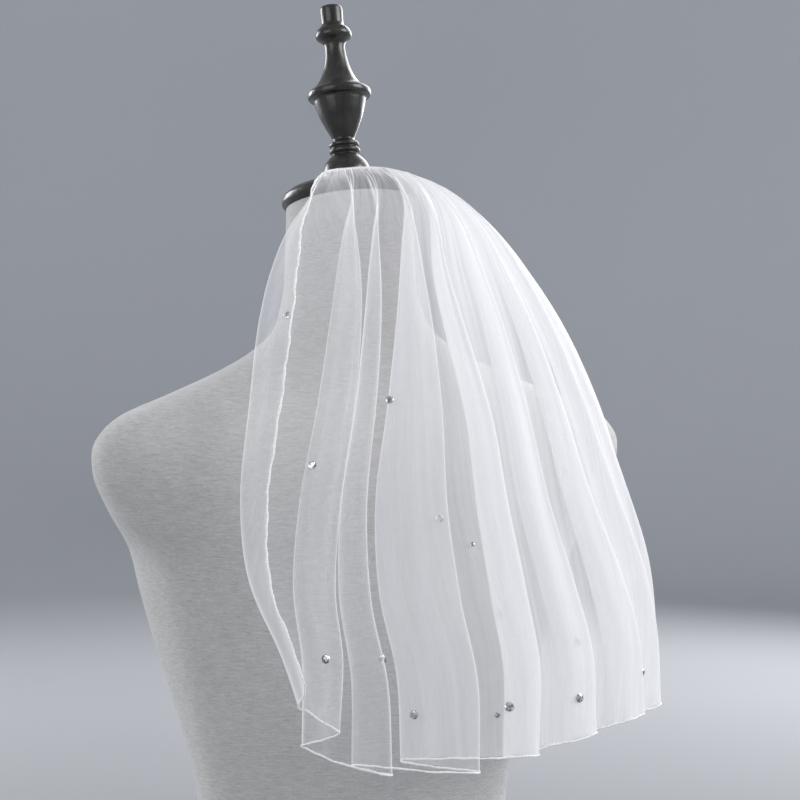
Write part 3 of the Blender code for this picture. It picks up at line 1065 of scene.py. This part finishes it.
    def cut_length(self, across: np.ndarray) -> np.ndarray:
        """Share of the full length at each place: a rounded cut takes off each corner.

        Args:
            across: places along the cloth, in turns.

        Returns:
            The length's share, 1 over the middle.
        """
        share = self.width_share(across)
        side = np.minimum(share, 1.0 - share)
        inside = np.clip(1.0 - side / self.corner_width, 0.0, 1.0)
        lost = 1.0 - (1.0 - inside**self.corner_round) ** (1.0 / self.corner_round)
        return 1.0 - self.corner_fall * lost

    def small_folds(self, share: np.ndarray, fall: np.ndarray) -> np.ndarray:
        """Depth of the fine gathers and of the soft ripples below them.

        Formula: sines of the share of the width with wandering phase; the gathers
        fade from the heading down, faint long pleats run on from them in places, and
        the ripples grow towards the hem.

        Args:
            share: share of the cut width.
            fall: share of the way down.

        Returns:
            Distance to move the cloth along its normal.
        """
        whole = 2.0 * math.pi * share
        wander = 0.9 * np.sin(5.3 * whole + 0.6) + 0.6 * np.sin(11.7 * whole + 2.1)
        pleats = np.sin(self.gathers * whole + wander)
        pleats = pleats + 0.45 * np.sin(0.47 * self.gathers * whole + 2.0 * wander)
        near_top = np.exp(-((fall / 0.13) ** 1.3)) * smooth_step(fall, -0.01, 0.02)
        long_pleats = np.sin(83.0 * whole + 3.0 * wander) * np.sin(2.6 * whole + 0.8) ** 2
        upper_half = smooth_step(fall, 0.03, 0.2) * (1.0 - smooth_step(fall, 0.45, 0.95))
        drift = 2.0 * fall + 1.4 * np.sin(3.7 * whole)
        soft = np.sin(27.0 * whole + drift) + 0.6 * np.sin(41.0 * whole - 1.7 * drift)
        return (
            self.gather_depth * pleats * near_top
            + self.long_pleat * long_pleats * upper_half
            + self.ripple * soft * smooth_step(fall, 0.05, 0.45)
        )

    def falls(self, across: np.ndarray) -> np.ndarray:
        """Share of the way down of each row of the grid, at each place across it."""
        rows = np.linspace(0.0, 1.0, self.rows + 1) ** self.row_spread
        return rows[:, None] * self.cut_length(across)[None, :]

    def grid(self) -> tuple:
        """The cloth's grid with its small folds, and its flat layout.

        Returns:
            Points, (u, v) layout in metres, the unit normals, and the cover.
        """
        across = self.across_places()
        fall = self.falls(across)
        points = self.point(across[None, :], fall)
        normals = grid_normals(points)
        share = self.width_share(across)
        shift = self.small_folds(share[None, :], fall)
        points = points + normals * shift[..., None]
        width, length = self.flat_size()
        wide = self.top_width + (width - self.top_width) * fall
        layout = np.stack(np.broadcast_arrays((share[None, :] - 0.5) * wide, fall * length), axis=-1)
        return points, layout, grid_normals(points), self.cover(across[None, :], fall)

    def cover(self, across: np.ndarray, fall: np.ndarray) -> np.ndarray:
        """How much of what lies behind a facing stretch of cloth is hidden.

        Formula: thin over the left flap and denser where more cloth is drawn together
        to the right, most of all above the shoulders, as exp(-(f / fade)^2), and near
        the hem; the whole is denser again towards the heading, as 1 + gain exp(-f / fade).

        Args:
            across: places along the cloth, in turns.
            fall: share of the way down.

        Returns:
            The cover, from 0 to 1.
        """
        right = smooth_step(across, *self.right_turns)
        dense = smooth_step(across, *self.dense_turns)
        drawn = self.thin_cover + (self.dense_cover - self.thin_cover) * dense
        drawn = drawn + self.upper_cover * right * np.exp(-((fall / self.upper_fade) ** 2))
        drawn = drawn + self.lower_cover * right * smooth_step(fall, *self.lower_falls)
        return np.clip(drawn * (1.0 + self.head_gain * np.exp(-fall / self.head_fade)), 0.0, 1.0)

    def flat_area(self) -> float:
        """Area of the flat cut.

        Formula: a strip wider at the hem, less two corners cut to quarter ovals.

        Returns:
            The area in square metres.
        """
        width, length = self.flat_size()
        corner = (1.0 - math.pi / 4.0) * self.corner_width * width * self.corner_fall * length
        return 0.5 * (self.top_width + width) * length - 2.0 * corner

    def flat_size(self) -> tuple:
        """Size of the cut before it was gathered, measured round every fold.

        Returns:
            Width along the hem and length down the middle.
        """
        last = len(self.turns) - 1
        fine = np.linspace(0.0, last, last * 24 + 1)
        width = run_along(self.point(fine, np.ones_like(fine)))[-1]
        down = np.linspace(0.0, 1.0, 200)
        length = run_along(self.point(np.full_like(down, self.middle_turn), down))[-1]
        return float(width), float(length)

    def build(self, finish: bpy.types.Material) -> tuple:
        """Make the tulle's mesh.

        Formula: the grid of the cloth joined into quads, turned so that they face
        outwards, with the cover stored on its points.

        Args:
            finish: the tulle's material.

        Returns:
            The object and the grid's points and normals.
        """
        points, layout, normals, cover = self.grid()
        item = new_piece("tulle_panel", points, grid_faces(*points.shape[:2])[:, ::-1])
        lay_out(item, layout.reshape(-1, 2))
        stored = item.data.attributes.new("cover", "FLOAT", "POINT")
        stored.data.foreach_set("value", cover.astype(np.float32).ravel())
        item.data.materials.append(finish)
        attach(item, ROOT)
        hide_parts("veil_panel")
        return item, points, normals


@dataclass
class EdgeCord:
    """The stitched cord along the cut edge: down one side, along the hem, up the other."""

    radius: float = 0.00068
    gap: float = 0.0003
    step: float = 0.0009
    sides: int = 7
    frill: float = 0.00036
    frill_waves: tuple = (0.0023, 0.0064)
    frill_drifts: tuple = (0.017, 0.031)
    swell: float = 0.12
    swell_waves: tuple = (0.00075, 0.0041)
    aside: tuple = (-0.56, 0.28, 0.78)
    middle: tuple = (0.0, 0.0, 0.5)

    def route(self, points: np.ndarray) -> np.ndarray:
        """Route just outside the cloth's edge, in the cloth's plane.

        Formula: edge point plus the part of (edge - inner neighbour) square to the
        edge, scaled to the cord's radius and its gap.

        Args:
            points: the cloth's grid.

        Returns:
            The route's points, evenly spaced.
        """
        sides = []
        for edge, inner in (
            (points[1:, 0], points[1:, 2]),
            (points[-1], points[-3]),
            (points[:0:-1, -1], points[:0:-1, -3]),
        ):
            along = unit(np.gradient(edge, axis=0))
            away = edge - inner
            away -= np.sum(away * along, axis=1, keepdims=True) * along
            sides.append(edge + (self.radius + self.gap) * unit(away))
        whole = np.concatenate(sides)
        run = run_along(whole)
        keep = np.concatenate([[True], np.diff(run) > 1e-7])
        even = np.arange(0.0, run[-1], self.step)
        return np.stack([np.interp(even, run[keep], whole[keep, axis]) for axis in range(3)], axis=1)

    def build(self, points: np.ndarray, finish: bpy.types.Material) -> bpy.types.Object:
        """Make the cord.

        Formula: the route wavers sideways, across the line to the middle, by two
        sines of its length with wandering phase, which is the frill; a circle carried
        along it swells and shrinks by two more sines, for the stitches.

        Args:
            points: the cloth's grid.
            finish: the thread's material.

        Returns:
            The object.
        """
        route = self.route(points)
        run = run_along(route)
        along = unit(np.gradient(route, axis=0))
        short, wide = (run / wave for wave in self.frill_waves)
        short_drift, wide_drift = (np.sin(run / wave) for wave in self.frill_drifts)
        waver = 0.6 * np.sin(short + 1.5 * short_drift) + np.sin(wide + 0.8 * wide_drift)
        sideways = unit(np.cross(along, route - np.array(self.middle)))
        route = route + self.frill * waver[:, None] * sideways
        stitches, uneven = (np.sin(run / wave) for wave in self.swell_waves)
        radius = self.radius * (1.0 + self.swell * stitches + self.swell * uneven)
        shape, faces, caps = tube(route, radius, self.sides, self.aside)
        item = new_piece("edge_stitching", shape, faces, caps)
        turn = np.linspace(0.0, 1.0, self.sides, endpoint=False) * 2.0 * math.pi * self.radius
        layout = np.stack(np.broadcast_arrays(run[:, None], turn[None, :]), axis=-1)
        lay_out(item, layout.reshape(-1, 2))
        item.data.materials.append(finish)
        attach(item, ROOT)
        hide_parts("edge_cord")
        return item


@dataclass
class GatheredHeading:
    """The gathered top of the tulle, sewn in a soft ribbed roll along the comb."""

    arc: float = 59.0
    turn: float = -9.0
    inner: float = 0.0365
    outer: float = 0.0473
    low: float = 0.0019
    thick: float = 0.0026
    ribs: int = 74
    rib_width: float = 0.10
    rib_depth: float = 0.28
    steps: int = 740
    around: int = 14

    def build(self, turnings: NeckTurnings, finish: bpy.types.Material) -> bpy.types.Object:
        """Make the heading.

        Formula: a flattened oval section carried round the cap, narrower and lower
        between ribs, which are a sine of the way along whose phase wanders.

        Args:
            turnings: gives places on the cap.
            finish: the gathers' material.

        Returns:
            The object.
        """
        share = np.linspace(0.0, 1.0, self.steps + 1)[:, None]
        turn = np.linspace(0.0, 2.0 * math.pi, self.around, endpoint=False)[None, :]
        whole = 2.0 * math.pi * share
        wander = 0.8 * np.sin(4.3 * whole) + 0.5 * np.sin(9.1 * whole + 1.0)
        rib = 0.5 + 0.5 * np.sin(self.ribs * whole + wander + 0.35 * np.cos(turn))
        half = 0.5 * (self.outer - self.inner)
        width = half * (1.0 - self.rib_width + self.rib_width * rib)
        radius = 0.5 * (self.outer + self.inner) + width * np.cos(turn)
        top = self.thick * (1.0 - self.rib_depth + self.rib_depth * rib)
        lift = self.low + top * (0.5 + 0.5 * np.sin(turn))
        points = turnings.on_cap(radius, self.turn + self.arc * (1.0 - 2.0 * share), lift)
        last = self.steps * self.around
        caps = (tuple(range(self.around)), tuple(reversed(range(last, last + self.around))))
        faces = grid_faces(self.steps + 1, self.around, around=True)[:, ::-1]
        item = new_piece("gathered_heading", points, faces, caps)
        layout = np.stack(np.broadcast_arrays(share * 1.1, turn * half), axis=-1)
        lay_out(item, layout.reshape(-1, 2))
        item.data.materials.append(finish)
        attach(item, ROOT)
        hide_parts("heading")
        return item


@dataclass
class Crystals:
    """Small cut crystals set on the tulle, each lying on the cloth's outer face."""

    radius: float = 0.0032
    lift: float = 0.0004
    side: Side = Side.OUTER
    corners: int = 8
    rings: tuple = ((0.96, 0.00, 0.0), (1.00, 0.10, 0.0), (0.84, 0.26, 0.5), (0.54, 0.38, 0.0))
    columns: tuple = ("across", "fall", "size")
    places: tuple = (
        (1.38, 0.336, 1.0),
        (5.40, 0.466, 1.0),
        (1.68, 0.563, 1.0),
        (7.50, 0.643, 0.9),
        (13.30, 0.580, 0.9),
        (7.66, 0.680, 0.5),
        (9.15, 0.783, 0.9),
        (10.45, 0.853, 1.0),
        (5.36, 0.842, 1.0),
        (1.65, 0.868, 1.0),
        (13.55, 0.935, 0.9),
        (9.72, 0.935, 1.0),
        (7.70, 0.926, 1.1),
        (7.63, 0.936, 0.6),
        (5.47, 0.920, 1.0),
    )

    def cut(self) -> tuple:
        """Points and faces of one crystal: table, crown, girdle and flat back.

        Formula: rings of corners, some turned half a step from the next.

        Returns:
            Points at unit radius with the table up, and triangles.
        """
        turn = 2.0 * math.pi * np.arange(self.corners) / self.corners
        points = []
        for radius, height, shift in self.rings:
            corner = turn + shift * 2.0 * math.pi / self.corners
            ring = [radius * np.cos(corner), radius * np.sin(corner), np.full(self.corners, height)]
            points.append(np.stack(ring, axis=1))
        points.append(np.array([[0.0, 0.0, 0.0], [0.0, 0.0, self.rings[-1][1]]]))
        step = np.arange(self.corners)
        after = (step + 1) % self.corners
        table = (len(self.rings) - 1) * self.corners
        back_middle = np.full(self.corners, table + self.corners)
        faces = []
        for low in range(0, table, self.corners):
            high = low + self.corners
            faces.append(np.stack([low + step, low + after, high + step], axis=1))
            faces.append(np.stack([low + after, high + after, high + step], axis=1))
        faces.append(np.stack([back_middle, after, step], axis=1))
        faces.append(np.stack([back_middle + 1, table + step, table + after], axis=1))
        return np.concatenate(points), np.concatenate(faces)

    def build(
        self, cloth: VeilCloth, points: np.ndarray, normals: np.ndarray, finish: bpy.types.Material
    ) -> bpy.types.Object:
        """Set the crystals on the cloth as one mesh.

        Formula: each seat is a grid point; the cut shape lies on the cloth's normal
        there, turned a little more for each crystal.

        Args:
            cloth: gives the grid's columns.
            points: the cloth's grid.
            normals: the grid's normals.
            finish: the crystal's material.

        Returns:
            The object.
        """
        shape, faces = self.cut()
        columns = cloth.across_places()
        falls = cloth.falls(columns)
        all_points, all_faces = [], []
        for number, (across, fall, size) in enumerate(self.places):
            step = int(np.argmin(np.abs(columns - across)))
            row = int(np.argmin(np.abs(falls[:, step] - fall)))
            seat = points[row, step]
            up = normals[row, step]
            outward = np.array([seat[0], seat[1], 0.0])
            up = self.side.value * (up if np.dot(up, outward) > 0.0 else -up)
            side = unit(np.cross(up, np.array([0.0, 0.0, 1.0])))
            over = np.cross(up, side)
            turn = 0.7 * number
            first = math.cos(turn) * side + math.sin(turn) * over
            second = math.cos(turn) * over - math.sin(turn) * side
            local = shape * self.radius * size
            placed = seat + up * self.lift + local @ np.stack([first, second, up])
            flip = np.dot(np.cross(first, second), up) < 0.0
            all_faces.append((faces[:, ::-1] if flip else faces) + number * len(shape))
            all_points.append(placed)
        item = new_piece("crystals", np.concatenate(all_points), np.concatenate(all_faces), smooth=False)
        item.data.materials.append(finish)
        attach(item, ROOT)
        return item


# ---------------------------------------------------------------- studio
@dataclass(frozen=True)
class Lamp:
    """A square soft light: its place round the form, its side and its watts."""

    name: str
    toward_eye: float
    right: float
    up: float
    size: float
    watts: float


@dataclass
class Studio:
    """Pale floor that curves up into a wall all round, with painted light making it paler away from the
    middle, soft lights and the camera.
    """

    flat_radius: float = 3.2
    cove: float = 1.3
    wall_top: float = 3.6
    sides: int = 96
    drop: float = 0.0006
    lens: float = 90.7
    turn: float = 151.0
    distance: float = 1.55
    eye_height: float = 0.57
    aim_right: float = 0.0385
    aim_down: float = 0.0385
    lit_middle: tuple = (0.0, 0.06, 0.45)
    sky: float = 0.41
    lamps: tuple = (
        Lamp("key_light", toward_eye=0.55, right=2.3, up=1.8, size=1.6, watts=47.0),
        Lamp("fill_light", toward_eye=1.9, right=-1.7, up=1.3, size=2.0, watts=19.0),
        Lamp("back_light", toward_eye=-1.9, right=1.2, up=1.5, size=1.8, watts=46.0),
        Lamp("rim_light", toward_eye=-1.5, right=-2.0, up=1.1, size=1.2, watts=34.0),
    )

    def floor(self) -> bpy.types.Object:
        """Make the floor and wall: a flat disc, a quarter round, then upright, painted darker in the middle
        and paler further out as painted light.

        Returns:
            The floor's object.
        """
        bend = np.radians(np.linspace(0.0, 90.0, 24))
        flat = np.column_stack([np.linspace(0.02, self.flat_radius, 8), np.zeros(8)])
        reach = self.flat_radius + self.cove * np.sin(bend)
        curve = np.column_stack([reach, self.cove - self.cove * np.cos(bend)])
        outline = np.vstack([flat, curve[1:], [[self.flat_radius + self.cove, self.wall_top]]])
        points, faces, _ = lathe(outline, self.sides)
        points[..., 2] -= self.drop
        item = new_piece("studio_floor", points, faces[:, ::-1], (tuple(range(self.sides)),))
        material, desk, shader = Finish("studio_paint").start()
        place = desk.add("TexCoord").outputs["Object"]
        mottle = desk.add("TexNoise", {"Vector": place, "Scale": 1.6, "Detail": 2.0}).outputs[0]
        away = desk.add("VectorMath", {0: place}, operation="LENGTH").outputs["Value"]
        # painted light: the paint grows paler with distance from the middle, lighting the wall as a wash
        # light would
        painted_wall_light = desk.spread(away, 1.0, 5.0, 0.0, 0.94)
        tone = desk.math("ADD", painted_wall_light, desk.math("MULTIPLY", mottle, 0.06))
        colour = desk.blend(tone, (0.29, 0.298, 0.315, 1.0), (0.66, 0.68, 0.72, 1.0))
        desk.join({"Base Color": colour, "Roughness": 0.9, "Specular IOR Level": 0.1}, shader)
        item.data.materials.append(material)
        return item

    def hang(self, lamp: Lamp, toward: Vector, right: Vector) -> None:
        """Hang a lamp, aimed at the middle of the object.

        Args:
            lamp: the lamp.
            toward: level direction towards the eye.
            right: level direction to the eye's right.
        """
        data = bpy.data.lights.new(lamp.name, "AREA")
        data.size = lamp.size
        data.energy = lamp.watts
        item = bpy.data.objects.new(lamp.name, data)
        place = toward * lamp.toward_eye + right * lamp.right + Vector((0.0, 0.0, lamp.up))
        item.location = place
        item.rotation_euler = (Vector(self.lit_middle) - place).to_track_quat("-Z", "Y").to_euler()
        item.visible_camera = False
        bpy.context.scene.collection.objects.link(item)

    def build(self) -> None:
        """Set up the floor, the lights, the sky and the camera."""
        self.floor()
        facing = math.radians(self.turn)
        toward = Vector((math.sin(facing), -math.cos(facing), 0.0))
        right = Vector((math.cos(facing), math.sin(facing), 0.0))
        for lamp in self.lamps:
            self.hang(lamp, toward, right)
        world = bpy.data.worlds.new("studio_sky")
        world.use_nodes = True
        light = {"Color": (0.93, 0.95, 1.0, 1.0), "Strength": self.sky}
        NodeDesk(world.node_tree).join(light, world.node_tree.nodes["Background"])
        bpy.context.scene.world = world
        data = bpy.data.cameras.new("camera")
        data.lens = self.lens
        data.sensor_width = 36.0
        data.clip_end = 50.0
        camera = bpy.data.objects.new("camera", data)
        eye = toward * self.distance + Vector((0.0, 0.0, self.eye_height))
        aim = Vector((0.0, 0.0, self.eye_height - self.aim_down)) + right * self.aim_right
        camera.location = eye
        camera.rotation_euler = (aim - eye).to_track_quat("-Z", "Y").to_euler()
        bpy.context.scene.collection.objects.link(camera)
        bpy.context.scene.camera = camera
        bpy.context.scene.cycles.transparent_max_bounces = 40
        bpy.context.scene.view_settings.view_transform = "Standard"


# ---------------------------------------------------------------- all together
def main() -> None:
    """Build every sub-assembly in order and report each piece."""
    logging.basicConfig(level=logging.INFO, format="%(name)s: %(message)s")
    materials = Materials()
    Studio().build()
    form = DressForm().build(materials.jersey)
    turnings = NeckTurnings()
    wood = turnings.build(materials.wood)
    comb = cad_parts["comb"]
    comb.data.materials.clear()
    comb.data.materials.append(materials.comb)
    heading = GatheredHeading().build(turnings, materials.gathers)
    cloth = VeilCloth()
    panel, points, normals = cloth.build(materials.tulle)
    cord = EdgeCord().build(points, materials.thread)
    crystals = Crystals().build(cloth, points, normals, materials.crystal)
    cloth.flat_size()
    cloth.flat_area()
    for item in [form, *wood, heading, panel, cord, crystals]:
        LOG.info("%s: %d faces", item.name, len(item.data.polygons))


if __name__ == "__main__":
    main()
